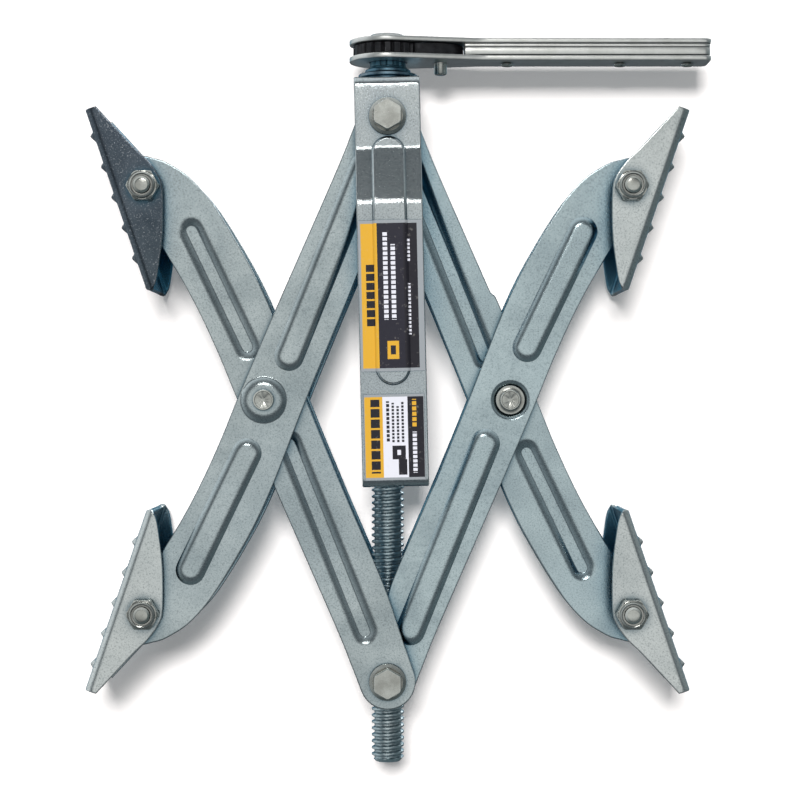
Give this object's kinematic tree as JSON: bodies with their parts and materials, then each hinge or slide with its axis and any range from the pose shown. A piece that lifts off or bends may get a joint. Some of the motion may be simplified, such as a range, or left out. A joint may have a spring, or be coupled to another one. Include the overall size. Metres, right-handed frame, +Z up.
{
  "type": "wheel chock",
  "caption": "Screw-driven scissor chock with a ratchet handle: crossed steel arms spread four toothed channel pads to lock the gap between two tandem tyres.",
  "frame": {"origin": "on the screw axis, halfway between the top pivot and the nut pivot", "axes": "+Z up along the screw to the ratchet, +X to the side the handle points to, +Y away from the labelled front"},
  "size_m": [0.3041, 0.0763, 0.3584],
  "materials": {
    "zinc_plate": "bluish bright zinc plate, slightly mottled",
    "fastener": "plated fasteners, satin",
    "black_oxide": "black oxide, satin",
    "bright_plate": "bright nickel plate, lightly worn",
    "label": "printed film label"
  },
  "bodies": {
    "bracket": {"bracket": "zinc_plate", "upper_label": "label", "lower_label": "label", "top_block": "fastener", "top_bolt_front": "fastener", "top_bolt_rear": "fastener", "top_spacer_front": "zinc_plate", "top_spacer_rear": "zinc_plate", "thrust_washer_1": "zinc_plate"},
    "screw": {"screw": "zinc_plate", "ratchet_gear": "black_oxide", "head_cap": "bright_plate", "thrust_washer_2": "zinc_plate"},
    "handle": {"handle_plate_low": "bright_plate", "handle_plate_high": "bright_plate", "handle_bar": "bright_plate", "handle_rivet_1": "fastener", "handle_rivet_2": "fastener", "handle_rivet_3": "fastener", "pawl_pin": "fastener"},
    "pawl": {"pawl": "black_oxide"},
    "arm_a": {"arm_a_front": "zinc_plate", "arm_a_rear": "zinc_plate", "left_rivet_front": "fastener", "left_rivet_rear": "fastener"},
    "arm_b": {"arm_b_front": "zinc_plate", "arm_b_rear": "zinc_plate"},
    "arm_c": {"arm_c_front": "zinc_plate", "arm_c_rear": "zinc_plate"},
    "arm_d": {"arm_d_front": "zinc_plate", "arm_d_rear": "zinc_plate", "right_rivet_front": "fastener", "right_rivet_rear": "fastener"},
    "nut_block": {"nut_block": "fastener", "nut_bolt_front": "fastener", "nut_bolt_rear": "fastener", "nut_spacer_front": "zinc_plate", "nut_spacer_rear": "zinc_plate"},
    "pad_ul": {"pad_ul": "zinc_plate", "pad_ul_bolt": "fastener", "pad_ul_nut": "fastener", "pad_ul_tube": "zinc_plate", "pad_ul_collar_front": "zinc_plate", "pad_ul_collar_rear": "zinc_plate"},
    "pad_ll": {"pad_ll": "zinc_plate", "pad_ll_bolt": "fastener", "pad_ll_nut": "fastener", "pad_ll_tube": "zinc_plate"},
    "pad_ur": {"pad_ur": "zinc_plate", "pad_ur_bolt": "fastener", "pad_ur_nut": "fastener", "pad_ur_tube": "zinc_plate", "pad_ur_collar_front": "zinc_plate", "pad_ur_collar_rear": "zinc_plate"},
    "pad_lr": {"pad_lr": "zinc_plate", "pad_lr_bolt": "fastener", "pad_lr_nut": "fastener", "pad_lr_tube": "zinc_plate", "pad_lr_collar_front": "zinc_plate", "pad_lr_collar_rear": "zinc_plate"}
  },
  "joints": [
    {"name": "scissor_open", "type": "hinge", "parent": "bracket", "child": "arm_a", "pos_m": [0, 0, 0.1363], "axis": [0, 1, 0], "range_deg": [-17, 5]},
    {"name": "arm_d_swing", "type": "hinge", "parent": "bracket", "child": "arm_d", "pos_m": [0, 0, 0.1363], "axis": [0, 1, 0], "range_deg": [-5, 17]},
    {"name": "left_crossing", "type": "hinge", "parent": "arm_a", "child": "arm_b", "pos_m": [-0.0597, 0, 0], "axis": [0, 1, 0], "range_deg": [-10, 34]},
    {"name": "right_crossing", "type": "hinge", "parent": "arm_d", "child": "arm_c", "pos_m": [0.0597, 0, 0], "axis": [0, 1, 0], "range_deg": [-34, 10]},
    {"name": "nut_pivot", "type": "hinge", "parent": "arm_b", "child": "nut_block", "pos_m": [0, 0, -0.1363], "axis": [0, 1, 0], "range_deg": [-17, 5]},
    {"name": "screw_spin", "type": "hinge", "parent": "bracket", "child": "screw", "pos_m": [0, 0, 0.1], "axis": [0, 0, 1], "continuous": true},
    {"name": "handle_turn", "type": "hinge", "parent": "bracket", "child": "handle", "pos_m": [0, 0, 0.17], "axis": [0, 0, 1], "continuous": true},
    {"name": "pawl_swing", "type": "hinge", "parent": "handle", "child": "pawl", "pos_m": [0.026, 0, 0.1717], "axis": [0, 0, 1], "range_deg": [0, 8], "stiffness_Nm_per_rad": 0.2},
    {"name": "pad_ul_swivel", "type": "hinge", "parent": "arm_b", "child": "pad_ul", "pos_m": [-0.11708, 0, 0.1026], "axis": [0, 1, 0], "range_deg": [-14, 30]},
    {"name": "pad_ll_swivel", "type": "hinge", "parent": "arm_a", "child": "pad_ll", "pos_m": [-0.11708, 0, -0.1026], "axis": [0, 1, 0], "range_deg": [-30, 14]},
    {"name": "pad_ur_swivel", "type": "hinge", "parent": "arm_c", "child": "pad_ur", "pos_m": [0.11708, 0, 0.1026], "axis": [0, 1, 0], "range_deg": [-30, 14]},
    {"name": "pad_lr_swivel", "type": "hinge", "parent": "arm_d", "child": "pad_lr", "pos_m": [0.11708, 0, -0.1026], "axis": [0, 1, 0], "range_deg": [-14, 30]}
  ],
  "couplings": [
    {"joint": "arm_d_swing", "follows": "scissor_open", "ratio": -1},
    {"joint": "left_crossing", "follows": "scissor_open", "ratio": -2},
    {"joint": "right_crossing", "follows": "scissor_open", "ratio": 2},
    {"joint": "nut_pivot", "follows": "scissor_open", "ratio": 1},
    {"joint": "handle_turn", "follows": "screw_spin", "ratio": 1}
  ]
}
